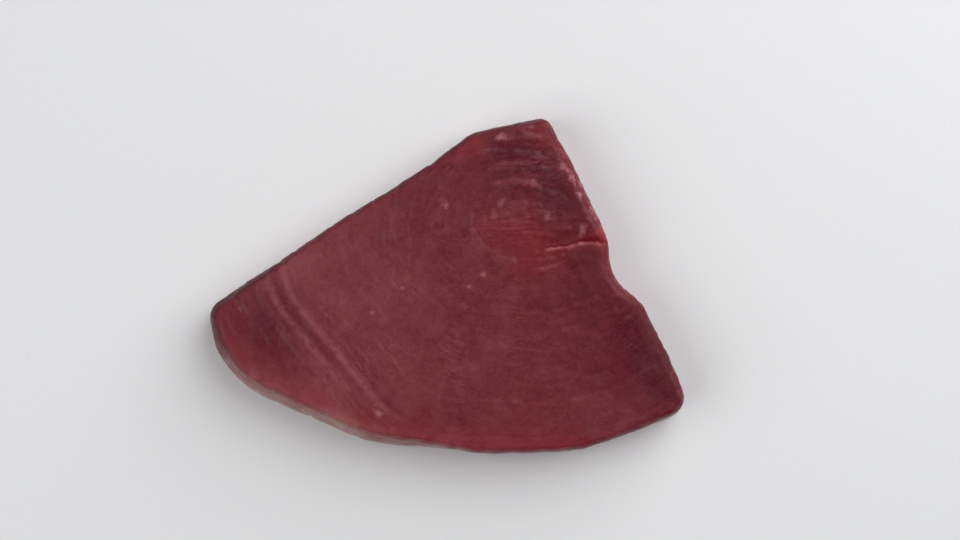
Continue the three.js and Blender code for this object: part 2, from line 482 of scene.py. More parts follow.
LINING_SHOWS = (0.7, 1.6)  # the gape's width where its red lining starts to show, and where it is full
LINING_EDGE = (0, 0.5)

SPLIT_SHOWS = (0.06, 0.18)  # half its width where the split starts to show, and where it is full
SPLIT_HALF = 0.35
SPLIT_DEPTH = 0.12
SPLIT_LIP_PLACE = -0.5
SPLIT_LIP_HEIGHT = 0.04


def face_shares(points, out):
    """How far each point belongs to the upper face, to the base, and to the wall between them."""
    height, upright = points[:, 2], out[:, 2]
    top = smooth_step(*FACING_UP, upright) * (height > UPPER_HALF)
    base = smooth_step(*FACING_DOWN, -upright) * (height < FOOT)
    return top, base, np.clip(1 - top - base, 0, 1)


def ring_field(points):
    """The ring that each point lies on, uneven and slanting downwards, and how far it is in the arcs."""
    x, y, z = points.T
    below = np.clip(THICKNESS - z, 0, THICKNESS)
    ring = ring_at(x + RING_SLANT[0] * below, y + RING_SLANT[1] * below)
    ring = ring + swing("rings bend", points) + swing("rings waver", points)
    near_eye = bell(np.hypot(x - EYE[0], y - EYE[1]), ARCS_REACH)
    arcs = near_eye * between(bearing(x, y, EYE), *ARCS_BEARINGS) * smooth_step(*ARCS_START, ring)
    return ring, arcs


def seam_marks(points, seams):
    x, y, _ = points.T
    ring = ring_at(x, y)
    from_eye = bearing(x, y, EYE)
    marks = np.zeros(len(x))
    for at_ring, first, last, half, strength in seams.values():
        across = bell((ring - at_ring) * RING_PITCH, half)
        marks = np.maximum(marks, strength * between(from_eye, first, last, SEAM_ENDS) * across)
    return marks


def spot_marks(points, spots):
    """Marks uneven spots, drawn out along the rings."""
    x, y, z = points.T
    marks = np.zeros(len(x))
    ragged = 1 + swing("ragged spots", points)
    for spot_x, spot_y, half, strength in spots:
        away = math.atan2(spot_y - EYE[1], spot_x - EYE[0])
        across = (x - spot_x) * math.cos(away) + (y - spot_y) * math.sin(away)
        along = (y - spot_y) * math.cos(away) - (x - spot_x) * math.sin(away)
        size = np.hypot(along / half, across / (SPOT_SLIMNESS * half + SPOT_WIDTH)) * ragged
        marks = np.maximum(marks, strength * (1 - smooth_step(*SPOT_EDGE, size)))
    return marks * (z > SPOTS_ABOVE)


def upper_relief(points, ring, arcs, lively, groove):
    lumps = swing("broad lumps", points) + swing("small lumps", points) + swing("pimples", points)
    number = smooth_step(*STEP_EDGE, (ring + 0.5) % 1) + np.floor(ring + 0.5)
    steps = STEP_HEIGHT * np.sin(number * STEP_TURN)
    eye = EYE_HEIGHT * np.exp(-(ring**2))
    depth = GROOVE_DEPTH + ARCS_DEPTH * arcs
    fine_groove = np.maximum(0, np.cos(4 * np.pi * ring + FINE_SHIFT)) ** FINE_SHARPNESS * arcs
    return lumps + steps - depth * lively * groove - FINE_GROOVE_DEPTH * lively * fine_groove + eye


def torn_relief(points, torn):
    """Short ridges and deeper furrows that lie one way, across the rings."""
    turn = math.radians(TORN_TURN)
    along = points[:, 0] * math.cos(turn) - points[:, 1] * math.sin(turn)
    across = points[:, 0] * math.sin(turn) + points[:, 1] * math.cos(turn)
    drawn = np.column_stack([along / TORN_LENGTH, across / TORN_WIDTH, points[:, 2]])
    return TORN_HEIGHT * torn * np.clip(swing("torn fibres", drawn), *TORN_LIMITS)


def wall_relief(points, grooves):
    swell = swing("swell of the wall", points)
    strands = swing("fine strands", points) + swing("strands", points)
    skin = between(bearing(points[:, 0], points[:, 1], HUB), *SKIN_SIDE)
    film = smooth_step(*MEMBRANE_EDGE, swing("membrane", points) + swing("fine membrane", points))
    return swell - WALL_GROOVE_DEPTH * grooves + strands + MEMBRANE_HEIGHT * skin * film


def base_relief(points, grooves):
    hollows = np.clip(swing("hollows of the base", points), 0, 1)
    return BASE_GROOVE_DEPTH * grooves + BASE_HOLLOW_DEPTH * hollows


def nibbled_rim(points, out):
    """How far the rim is nibbled in at each point, and how far down."""
    nibbles = np.clip(swing("nibbles", points) + swing("fine nibbles", points), 0, NIBBLES_MOST)
    nibbles = nibbles * (points[:, 2] > UPPER_HALF)
    deep_in, deep_down = (bell(out[:, 2] - middle, half) for middle, half in (NIBBLES_ROUND, NIBBLES_EDGE))
    return NIBBLES_IN * deep_in * nibbles, NIBBLES_DOWN * deep_down * nibbles


def carve_flesh(points, out, seams):
    """Moves the upper face, the base and the walls into relief, and gives masks of them."""
    x, y, z = points.T
    top, base, wall = face_shares(points, out)
    ring, arcs = ring_field(points)
    torn = oval(points, TORN_PATCH)
    lively = np.clip(LIVELY_MIDDLE + swing("grooves fade", points), *LIVELY_LIMITS)
    groove = np.maximum(0, np.cos(2 * np.pi * ring)) ** GROOVE_SHARPNESS * smooth_step(*GROOVES_START, ring)
    nibbled_in, nibbled_down = nibbled_rim(points, out)

    relief = upper_relief(points, ring, arcs, lively, groove) + SEAM_HEIGHT * seams
    relief = relief + torn_relief(points, torn)
    lifted = top * (swell_height(x, y) + relief - z)
    lifted = lifted + base * (base_relief(points, groove * lively) - z)
    side = wall_relief(points, groove * lively) - nibbled_in
    push = (wall * side)[:, None] * out
    push[:, 2] *= z > FLOOR_CLEAR
    push[:, 2] += lifted - nibbled_down
    masks = {"ring": ring, "arcs": arcs * top, "wall": wall, "nicks": torn * top, "seam": seams * top}
    return points + push, top, masks


def open_gape(points, top, wall):
    """Opens the gape: its upper side slopes down to a slit under the pale, slightly raised lower lip.
    Gives masks of its lining, of its slit, which shows where the lip is weak and is darkened in the colour
    as painted shade, and of its lip, whose pale colour is partly a painted highlight."""
    signed, wide, deep = along_path(points, GAPE_PATH)
    ragged = signed + swing("ragged gape", points) + swing("finely ragged gape", points)
    height = swell_height(points[:, 0], points[:, 1])
    low = height - deep - GAPE_ROOM
    sink = np.clip((points[:, 2] - low) / (height - low), 0, 1)
    slope = smooth_step(0, 1, 1 - ragged / wide) * smooth_step(*SLOPE_START, ragged) * sink
    slit = bell(ragged - SLIT_PLACE, SLIT_HALF) * sink * smooth_step(*SLIT_SHOWS, wide)
    points[:, 2] -= deep * (SLOPE_SHARE * slope + SLIT_SHARE * slit) * (1 - WALL_HOLD * wall)
    points[:, 0] -= (WALL_SLOPE * slope + WALL_SLIT * slit) * wall

    uneven = np.clip(LIP_MIDDLE + swing("uneven lip", points), *LIP_LIMITS)
    faded = sum(share * smooth_step(first, last, wide) for first, last, share in LIP_FADES)
    lip = bell(ragged - LIP_PLACE, LIP_HALF) * smooth_step(*LIP_SHOWS, wide) * uneven * top * (1 - faded)
    points[:, 2] += LIP_HEIGHT * lip
    lining = smooth_step(*LINING_EDGE, slope) * smooth_step(*LINING_SHOWS, wide)
    return lining, slit * (LIP_LIMITS[1] - uneven), lip


def open_split(points, top):
    """Opens the faint split, and gives a mask of its pale edge, whose colour is partly a painted highlight.
    """
    signed, half = along_path(points, SPLIT_PATH)
    ragged = signed + swing("ragged split", points)
    present = top * smooth_step(*SPLIT_SHOWS, half)
    edge = bell(ragged - SPLIT_LIP_PLACE, SPLIT_HALF) * present
    points[:, 2] += SPLIT_LIP_HEIGHT * edge - SPLIT_DEPTH * bell(ragged, SPLIT_HALF) * present
    return edge


def shape_mesh(mesh):
    """Gives the mesh its whole relief. Returns how far each point belongs to the upper face, and masks."""
    points = coordinates(mesh)
    points, top, masks = carve_flesh(points, directions(mesh), seam_marks(points, SEAMS))
    masks["pits"] = spot_marks(points, PITS)
    masks["speck"] = spot_marks(points, SPECKS)
    points[:, 2] += SPECK_HEIGHT * masks["speck"] - PIT_DEPTH * masks["pits"]
    masks["gape"], masks["slit"], masks["lip"] = open_gape(points, top, masks["wall"])
    masks["split"] = open_split(points, top)
    place(mesh, points)
    relax_gape(mesh)
    return top, masks


# ---------------------------------------------------------------- masks for the material

# Soft patches of the face: x, y, reach, how much lighter, how much redder. The pale patches on the shoulder
# and the belly are painted sheen.
PATCHES = {
    "painted sheen on the shoulder": (-30.0, 6.0, 22.0, 0.60, 0.0),
    "painted sheen on the belly": (-16.0, -16.0, 26.0, 0.32, 0.0),
    "pale neck": (-2.0, 14.0, 15.0, 0.20, 0.0),
    "dark tip": (-52.0, -12.0, 12.0, -0.75, 0.0),
    "purple tip": (-51.0, -8.0, 6.0, -0.22, -0.2),
    "red tip edge": (-63.0, -17.0, 7.0, -0.45, 0.45),
    "dull shoulder": (-2.0, 25.0, 14.0, -0.35, -0.1),
    "dark heel": (63.0, -26.0, 13.5, -1.25, -0.05),
    "red heel edge": (64.5, -28.0, 6.0, -0.60, 0.20),
    "dark flank": (47.0, -9.0, 12.0, -0.35, 0.0),
    "dark step": (54.0, -13.0, 8.0, -0.30, 0.0),
    "dark hollow": (40.5, 6.0, 8.5, -0.80, 0.20),
    "dark mouth": (40.5, 15.6, 3.5, -0.65, 0.15),
    "dark below the gape": (39.0, 9.4, 4.6, -1.30, 0.15),
    "dark crown": (35.0, 26.5, 9.5, -0.90, 0.05),
    "dark saddle": (18.0, 35.0, 10.0, -0.70, -0.4),
    "red shoulder edge": (3.5, 37.2, 3.8, 0.20, 0.75),
    "dull shoulder edge": (2.5, 31.5, 5.5, -0.10, -0.4),
    "dull neck": (1.0, 10.0, 6.0, -0.30, 0.0),
    "red crown edge": (9.0, 40.3, 3.5, 0.20, 0.75),
    "red crown point": (27.5, 44.0, 4.0, 0.05, 0.7),
    "red skin edge": (32.0, 38.0, 5.0, -0.25, 0.40),
    "red gape end": (25.0, 9.0, 8.0, 0.10, 0.55),
    "red gape side": (32.9, 12.9, 3.4, -1.1, 0.20),
    "red mouth": (44.2, 14.2, 2.2, 0.5, 1.6),
    "dull middle": (30.0, -14.0, 18.0, -0.25, -0.1),
    "pale eye": (21.5, 17.0, 7.0, 0.35, 0.25),
    "warm foot": (25.0, -38.0, 20.0, 0.15, 0.15),
    "pale foot": (52.0, -40.0, 14.0, 0.40, 0.0),
    "pale upper edge": (-43.0, 7.0, 7.0, 0.75, 0.0),
    "pale lower edge": (-36.0, -32.0, 8.0, 0.65, 0.0),
    "dark lower edge": (-24.0, -34.0, 5.5, -0.35, 0.0),
    "warm lower middle": (-9.0, -29.0, 9.0, 0.28, 0.1),
    "pale middle": (19.5, -9.0, 10.0, 0.28, 0.1),
    "red eye end": (12.5, 16.5, 5.0, 0.25, 0.3),
}
EYE_PATCH = (21.5, 17.5, 14.0, 7.5)  # where the eye's strokes show: its middle, and half its size

# How strongly fine lines show: everywhere, in the arcs, and among the rings towards the tip.
LINES_EVERYWHERE = 0.12
LINES_IN_ARCS = 0.8
LINES_AT_TIP = 0.35
TIP_LINES_START = (10.8, 12.2)  # in rings
TIP_LINES_END = (13.5, 14.3)
TIP_LINES_BEARINGS = (192, 262, 12)  # from the eye

# Bands along the rim: strength, reach in from the wall, and the bearings from the hub that they run
# between, with how softly they end.
BANDS = {
    "red lower rim": (0.75, 6.0, 190, 300, 10),
    # The next two bands darken the colour as painted shade, along the upper edge and in the notch, where the
    # edge lies in shade.
    "painted shade on the upper edge": (1.3, 0.9, 68, 195, 6),
    "painted shade on the notch edge": (1.3, 1.9, 334, 353, 5),
    "dull rim": (1.0, 2.0, -28, 190, 8),
}
RED_RIM = (0.45, 2.0)  # all round: strength and reach
BACK_EDGE = 0.4  # how much stronger the painted shade on the upper edge gets at the back,
BACK_EDGE_START = (165, 178)  # between these bearings
EDGE_FADES = (0.3, 0.9)  # shares of the way down the wall
WALL_UPRIGHT = 0.55  # where the upright part of the normal is less than this, it is wall
SKIN_ON_FACE = (0.5, 1.0)  # the silvery membrane's strength on the face's edge, and its reach

# The belly's pale membrane, on the lower left, made paler still as painted light on a wall that the lamps
# leave in shade. Bearings are from the hub.
BELLY_START = (193, 205)
BELLY_END = (254, 280)
BELLY_THIN = (246, 8, 0.35)  # a thinner place: its bearing, half its width, and how much is gone
# Painted light at the top of the wall, where the wall's own shading would show as a dark line.
BELLY_AT_RIM = 0.15
BELLY_DOWN_WALL = 0.65  # on top of that,
BELLY_FULL = (0.0, 0.8)  # between these shares of the way down
BELLY_REACH = 2.8  # how far it shows on the face's edge,
BELLY_ON_FACE = 0.10  # and how strongly,
BELLY_FLAPS = [(224, 7, 0.25), (205, 6, 0.12)]  # and more so at these bearings


def wall_distance(mesh):
    """How far each point is from the nearest of the wall."""
    points = coordinates(mesh)
    walls = np.flatnonzero(np.abs(directions(mesh)[:, 2]) < WALL_UPRIGHT)
    tree = KDTree(len(walls))
    for index in walls:
        tree.insert(points[index], int(index))
    tree.balance()
    return np.array([tree.find(point)[2] for point in points])


def belly_mask(points, wall, near_wall, down):
    ragged = bearing(points[:, 0], points[:, 1], HUB) + swing("ragged ends of the belly", points)
    thin_at, thin_half, thinner = BELLY_THIN
    present = smooth_step(*BELLY_START, ragged) * (1 - thinner * bell(ragged - thin_at, thin_half))
    present *= 1 - smooth_step(*BELLY_END, ragged)
    on_wall = wall * (BELLY_AT_RIM + BELLY_DOWN_WALL * smooth_step(*BELLY_FULL, down))
    flaps = sum(strength * bell(ragged - at, half) for at, half, strength in BELLY_FLAPS)
    on_face = (BELLY_ON_FACE + flaps) * bell(near_wall, BELLY_REACH)
    return (on_wall + on_face) * present


def side_masks(mesh, wall):
    """Masks of what lies along the rim and down the walls."""
    points = coordinates(mesh)
    round_rim = bearing(points[:, 0], points[:, 1], HUB)
    near_wall = wall_distance(mesh)
    down = np.clip((THICKNESS - points[:, 2]) / THICKNESS, 0, 1)
    bands = {}
    for name, (strength, reach, first, last, soft) in BANDS.items():
        bands[name] = strength * bell(near_wall, reach) * between(round_rim, first, last, soft)
    back = 1 + BACK_EDGE * smooth_step(*BACK_EDGE_START, round_rim)
    # Painted shade along the upper edge, deeper at the back, and in the notch.
    dark = bands["painted shade on the upper edge"] * back + bands["painted shade on the notch edge"]
    skin = np.maximum(wall, SKIN_ON_FACE[0] * bell(near_wall, SKIN_ON_FACE[1]))
    return {
        "rim": RED_RIM[0] * bell(near_wall, RED_RIM[1]) + bands["red lower rim"],
        "edge": dark * (1 - smooth_step(*EDGE_FADES, down)),
        "skin": skin * between(round_rim, *SKIN_SIDE),
        "belly": belly_mask(points, wall, near_wall, down),
        "dull": bands["dull rim"],
    }


def face_masks(mesh, top, ring, arcs):
    """Masks of the colours, painted sheen on the left among them, and of the fine lines of the upper face.
    """
    points = coordinates(mesh)
    x, y, _ = points.T
    light, red = np.zeros((2, len(x)))
    for patch_x, patch_y, reach, lighter, redder in PATCHES.values():
        near = bell(np.hypot(x - patch_x, y - patch_y), reach)
        light += lighter * near
        red += redder * near
    at_tip = smooth_step(*TIP_LINES_START, ring) * (1 - smooth_step(*TIP_LINES_END, ring))
    at_tip *= between(bearing(x, y, EYE), *TIP_LINES_BEARINGS)
    return {
        "light": light,
        "red": red,
        "dark_seam": seam_marks(points, DARK_SEAMS) * top,
        "lined": LINES_EVERYWHERE + LINES_IN_ARCS * arcs + LINES_AT_TIP * at_tip,
        "eye": oval(points, EYE_PATCH) * top,
    }


def make_steak():
    mesh = even_mesh(closed_body())
    top, masks = shape_mesh(mesh)
    masks |= side_masks(mesh, masks["wall"])
    masks |= face_masks(mesh, top, masks["ring"], masks["arcs"])
    for name, values in masks.items():
        layer = mesh.attributes.new(name, "FLOAT", "POINT")
        layer.data.foreach_set("value", np.asarray(values, dtype=np.float32))

    place(mesh, fit_to_solid(coordinates(mesh)))
    mesh.polygons.foreach_set("use_smooth", [True] * len(mesh.polygons))
    mesh.materials.append(flesh_material(masks.keys()))
    steak = into_scene("tuna_steak", mesh)
    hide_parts("steak")
    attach(steak, "root")


# ---------------------------------------------------------------- building materials

FLOAT = "NodeSocketFloat"
VECTOR = "NodeSocketVector"


def rgb(red, green, blue):
    """A colour from its screen values, 0 to 255."""
    parts = []
    for value in (red, green, blue):
        share = value / 255
        parts.append(share / 12.92 if share <= 0.04045 else ((share + 0.055) / 1.055) ** 2.4)
    return (*parts, 1.0)


def new_material(name):
    material = bpy.data.materials.new(name)
    material.use_nodes = True
    return material, material.node_tree, material.node_tree.nodes["Principled BSDF"].inputs


def add(tree, kind, inputs=None, **settings):
    """A node with its settings, and each input joined to an output or given a value."""
    node = tree.nodes.new(kind)
    for name, value in settings.items():
        setattr(node, name, value)
    for name, value in (inputs or {}).items():
        if isinstance(value, bpy.types.NodeSocket):
            tree.links.new(value, node.inputs[name])
        else:
            node.inputs[name].default_value = value
    return node


def maths(tree, operation, *values, clamp=False):
    inputs = dict(enumerate(values))
    return add(tree, "ShaderNodeMath", inputs, operation=operation, use_clamp=clamp).outputs[0]


def vectors(tree, operation, *values):
    return add(tree, "ShaderNodeVectorMath", dict(enumerate(values)), operation=operation).outputs[0]


def combined(tree, x, y, z):
    return add(tree, "ShaderNodeCombineXYZ", {0: x, 1: y, 2: z}).outputs[0]


def ramped(tree, value, low, high, to_low=0.0, to_high=1.0):
    inputs = {0: value, 1: low, 2: high, 3: to_low, 4: to_high}
    return add(tree, "ShaderNodeMapRange", inputs, interpolation_type="SMOOTHSTEP").outputs[0]


def clouds(tree, at, scale, detail, roughness):
    inputs = {"Vector": at, "Scale": scale, "Detail": detail, "Roughness": roughness}
    return add(tree, "ShaderNodeTexNoise", inputs).outputs[0]


def tinted(tree, share, first, second):
    """A share of the second colour over the first. A Mix node's colours are sockets 6 and 7, and 2 out."""
    return add(tree, "ShaderNodeMix", {0: share, 6: first, 7: second}, data_type="RGBA").outputs[2]


def swung(tree, pattern, amount, where):
    """A pattern as a swing up and down, of an amount and as strong as a mask has it."""
    strength = maths(tree, "MULTIPLY", where, amount)
    return maths(tree, "MULTIPLY", maths(tree, "SUBTRACT", pattern, 0.5), strength)


def use(tree, group, inputs):
    """A node group set in a material, and its outputs."""
    return add(tree, "ShaderNodeGroup", inputs, node_tree=group).outputs


def new_group(name, inputs, outputs):
    tree = bpy.data.node_groups.new(name, "ShaderNodeTree")
    for label, kind, value in inputs:
        socket = tree.interface.new_socket(label, in_out="INPUT", socket_type=kind)
        if value is not None:
            socket.default_value = value
    for label in outputs:
        tree.interface.new_socket(label, in_out="OUTPUT", socket_type=FLOAT)
    return tree, tree.nodes.new("NodeGroupInput").outputs, tree.nodes.new("NodeGroupOutput").inputs


def hand_out(tree, made, values):
    for label, value in values.items():
        tree.links.new(value, made[label])
    return tree


# ---------------------------------------------------------------- patterns

BEND = 2.6  # the bundles are bent by up to half of this,
BEND_SCALE = 0.5  # by clouds of this scale
BEND_DETAIL = 2.0
NET_WIDTH = 0.10
SWELL_WIDTH = 0.35  # how far in from its edge a bundle rises,
BUNDLE_SWELL = 0.18  # and by how much
GRAIN = (2.6, 4.0, 0.7)  # clouds: scale, detail and roughness

SHEET_CLOUDS = (0.14, 3.0, 0.5)
SHEET_BREAKS = (0.42, 0.66)  # where the pale sheet is gone, and where it is whole
SHEET_PLACE = 0.40  # where it lies, as a share of a ring
SHEET_HALF = (0.05, 0.6)  # half its width, where it is full and where it ends
SHADE_PLACE = 0.20  # where the dark band behind it lies,
SHADE_HALF = 0.24  # and half its width, as shares of a ring
LINE_CLOUDS = (1.0, 3.0, 0.6)
LINES = [("Fine lines", 1.0, 9.0), ("Flecks", 1.8, 3.2)]  # how close they lie, and their length

STROKE_CLOUDS = (1.0, 2.0, 0.6)
STROKE_DEPTH = 6.0


def fibre_ends():
    """Cut muscle fibres: fine bundles seen end on across a face, that run upright down a wall."""
    tree, given, made = new_group(
        "Fibre ends",
        [("Place", VECTOR, None), ("Bundle", FLOAT, 1.0), ("Run", FLOAT, 0.12)],
        ["Bundles", "Net", "Grain", "Height"],
    )
    upright = vectors(tree, "MULTIPLY", given["Place"], combined(tree, 1.0, 1.0, given["Run"]))
    bend_inputs = {"Vector": upright, "Scale": BEND_SCALE, "Detail": BEND_DETAIL}
    bend = add(tree, "ShaderNodeTexNoise", bend_inputs).outputs["Color"]
    centred = vectors(tree, "SUBTRACT", bend, (0.5, 0.5, 0.5))
    bent = {
        "Vector": vectors(tree, "MULTIPLY_ADD", centred, (BEND, BEND, BEND), upright),
        "Scale": maths(tree, "DIVIDE", 1.0, given["Bundle"]),
    }
    cells = add(tree, "ShaderNodeTexVoronoi", bent).outputs["Color"]
    from_edge = add(tree, "ShaderNodeTexVoronoi", bent, feature="DISTANCE_TO_EDGE").outputs["Distance"]
    grain = clouds(tree, upright, *GRAIN)
    swell = ramped(tree, from_edge, 0.0, SWELL_WIDTH, 0.0, BUNDLE_SWELL)
    parts = {
        "Bundles": add(tree, "ShaderNodeSeparateColor", {0: cells}).outputs[0],
        "Net": ramped(tree, from_edge, 0.0, NET_WIDTH, 1.0, 0.0),
        "Grain": grain,
        "Height": maths(tree, "ADD", swell, grain),
    }
    return hand_out(tree, made, parts)


def ring_marks():
    """The muscle rings: a tone for each, the thin pale sheet between two, and fine lines along them."""
    tree, given, made = new_group(
        "Ring marks",
        [("Ring", FLOAT, 0.0), ("Place", VECTOR, None), ("Pitch", FLOAT, RING_PITCH), ("Lines", FLOAT, 4.0)],
        ["Tone", "Sheet", "Shade", "Fine lines", "Flecks"],
    )

    def from_middle(shift):
        """How far a point is from the middle of its ring, once the rings are shifted."""
        share = maths(tree, "FRACT", maths(tree, "ADD", given["Ring"], shift))
        return maths(tree, "ABSOLUTE", maths(tree, "SUBTRACT", share, 0.5))

    number = maths(tree, "FLOOR", given["Ring"])
    whole = ramped(tree, clouds(tree, given["Place"], *SHEET_CLOUDS), *SHEET_BREAKS)
    off = maths(tree, "MULTIPLY", from_middle(SHEET_PLACE), given["Pitch"])
    parts = {
        "Tone": add(tree, "ShaderNodeTexWhiteNoise", {"W": number}, noise_dimensions="1D").outputs[0],
        "Sheet": maths(tree, "MULTIPLY", ramped(tree, off, *SHEET_HALF, 1.0, 0.0), whole),
        "Shade": ramped(tree, from_middle(SHADE_PLACE), 0.0, SHADE_HALF, 1.0, 0.0),
    }
    apart = add(tree, "ShaderNodeSeparateXYZ", {0: given["Place"]}).outputs
    lines_across = maths(tree, "MULTIPLY", given["Ring"], given["Lines"])
    for label, crowding, length in LINES:
        across = maths(tree, "MULTIPLY", lines_across, crowding)
        along = [maths(tree, "DIVIDE", way, length) for way in apart[:2]]
        parts[label] = clouds(tree, combined(tree, across, *along), *LINE_CLOUDS)
    return hand_out(tree, made, parts)


def strokes():
    """Short strokes that lie one way, such as torn fibres or the drag of a knife."""
    tree, given, made = new_group(
        "Strokes",
        [("Place", VECTOR, None), ("Turn", FLOAT, 0.0), ("Length", FLOAT, 4.0), ("Width", FLOAT, 0.8)],
        ["Strokes"],
    )
    turn = {"Vector": given["Place"], "Angle": given["Turn"]}
    turned = add(tree, "ShaderNodeVectorRotate", turn, rotation_type="Z_AXIS").outputs[0]
    size = combined(tree, given["Length"], given["Width"], STROKE_DEPTH)
    drawn = clouds(tree, vectors(tree, "DIVIDE", turned, size), *STROKE_CLOUDS)
    return hand_out(tree, made, {"Strokes": drawn})


# ---------------------------------------------------------------- the flesh

FLESH = rgb(106, 36, 46)
FLESH_DARK = rgb(77, 10, 25)
FLESH_LIGHT = rgb(130, 61, 69)
FLESH_RED = rgb(140, 36, 38)
RIM_RED = rgb(132, 34, 47)
# Painted shade for the upper edge and the notch.
EDGE_PAINTED_SHADE = rgb(66, 16, 22)
SHEET_PALE = rgb(148, 84, 90)
SPECK_PALE = rgb(170, 106, 110)
# Painted shade inside the gape's slit.
SLIT_PAINTED_SHADE = rgb(62, 10, 18)
SKIN_PALE = rgb(186, 132, 140)
SKIN_DEEP = rgb(84, 20, 32)
# The belly membrane's pale colour, brightened as painted light.
BELLY_PALE_AND_PAINTED_LIGHT = rgb(180, 134, 127)
GAPE_RED = rgb(112, 14, 22)
# The pale lip of the gape and edge of the split, partly a painted highlight where they catch the light.
LIP_PALE_AND_PAINTED_HIGHLIGHT = rgb(180, 98, 102)

# The flesh's parts are named: masks, as on the mesh, in small letters, and patterns with a capital.

# Clouds: scale, detail, roughness, and how fast they change upright compared with across.
CLOUDS = {
    "Cloud": (0.05, 3.0, 0.5, 1.0),
    "Mottle": (0.28, 4.0, 0.5, 1.0),
    "Broad clouds": (0.09, 2.0, 0.5, 1.0),
    "Line clouds": (0.12, 3.0, 0.5, 1.0),
    "Spots": (0.75, 3.0, 0.6, 0.16),
    "Tears": (0.15, 4.0, 0.6, 0.5),
    "Wet clouds": (0.11, 4.0, 0.6, 1.0),
}

# Strokes: the way they lie, in degrees, their length and their width.
STROKES = {
    "Nick strokes": (-TORN_TURN, TORN_LENGTH, 0.8),
    "Eye strokes": (-3, 8.0, 0.9),
}

# Readings of other parts: the part, the two values that it is read between, and what these become.
READINGS = {
    "Nicks": ("Nick strokes", 0.36, 0.62, 0.0, 1.0),
    "Patches": ("Broad clouds", 0.50, 0.66, 0.0, 1.0),
    "Fading": ("Line clouds", 0.35, 0.60, 0.40, 1.30),
    "Beads": ("Mottled spots", 0.75, 1.15, 0.25, 0.68),
    "Speckle": ("Spots", 0.30, 0.55, 0.50, 1.00),
    "Skin film": ("Film", 0.50, 0.62, 0.0, 1.0),
    "Skin gaps": ("Film", 0.50, 0.40, 0.0, 1.0),
    "Belly film": ("Film", 0.42, 0.58, 0.60, 1.10),
    "Lip grain": ("Grain", 0.35, 0.60, 0.60, 1.00),
    "Wetness": ("Wet clouds", 0.38, 0.62, 0.20, 0.40),
}
FILM_TEARS = 0.6  # what the film of the two membranes is made of
FILM_SPOTS = 0.4
SHEET_ON_FACE = 0.05  # how strongly the sheets between the rings show,
SHEET_IN_ARCS = 0.05  # on top of that in the arcs,
SHEET_ON_WALL = 0.40  # and on the walls

# What swings the flesh's tone between dark and light: the pattern, how far, and the part that it keeps to.
MIDDLE_TONE = 0.5
LIGHT_SHARE = 0.40  # how far the light and dark patches change it
TONE_SWINGS = [
    ("Cloud", 0.45, None),
    ("Mottle", 0.42, None),
    ("Tone", 0.08, None),
    ("Fine lines", 1.70, "Lined"),
    ("Flecks", 1.15, "Patches"),
    ("Bundles", 0.18, None),
    ("Grain", 0.50, None),
    ("Grain", 0.80, "wall"),
    ("Eye strokes", 1.70, "eye"),
    ("Nicks", 0.75, "nicks"),
]

# What is laid over the flesh, one after another: the colour, how strongly, and the parts that it keeps to.
LAYERS = [
    (FLESH_DARK, 0.35, "Shade", "arcs"),
    (FLESH_DARK, 0.65, "dark_seam"),
    (FLESH_RED, 0.55, "red"),
    (RIM_RED, 0.70, "rim"),
    (SHEET_PALE, 1.00, "Sheet", "Sheet strength"),
    (SHEET_PALE, 0.08, "Net"),
    (SHEET_PALE, 1.00, "seam", "Beads"),
    (SPECK_PALE, 0.80, "speck", "Speckle"),
    # Dark pits, the one above the gape's lip a painted shadow.
    (GAPE_RED, 0.75, "pits"),
    # Painted shade along the upper edge and in the notch.
    (EDGE_PAINTED_SHADE, 0.40, "edge"),
    (SKIN_PALE, 0.50, "skin", "Skin film"),
    (SKIN_DEEP, 0.60, "skin", "Skin gaps"),
    # The belly's pale membrane, partly painted light.
    (BELLY_PALE_AND_PAINTED_LIGHT, 1.00, "belly", "Belly film"),
    # The split's pale edge, partly a painted highlight.
    (LIP_PALE_AND_PAINTED_HIGHLIGHT, 0.20, "split"),
    (GAPE_RED, 0.85, "gape"),
    # Painted shade in the slit.
    (SLIT_PAINTED_SHADE, 0.40, "slit"),
    # The gape's pale lip, partly a painted highlight.
    (LIP_PALE_AND_PAINTED_HIGHLIGHT, 0.88, "lip", "Lip grain"),
]

# What the bump adds to the height of the fibre ends: how far, and the parts.
BUMPS = [
    (0.8, "Grain"),
    (0.9, "Fine lines"),
    (1.2, "Nicks", "nicks"),
    (4.0, "Film", "skin"),
    (1.6, "Grain", "wall"),
]
BUMP_STRENGTH = 0.6
BUMP_HEIGHT = 0.05

GRAIN_ROUGHNESS = 0.12
WALL_ROUGHNESS = 0.08
DULL_ROUGHNESS = 0.28
COAT = 0.08
COAT_ROUGHNESS = 0.25
SPECULAR = 0.22
SUBSURFACE = 0.2
SUBSURFACE_RADIUS = (1.0, 0.25, 0.15)
SUBSURFACE_REACH = 1.2


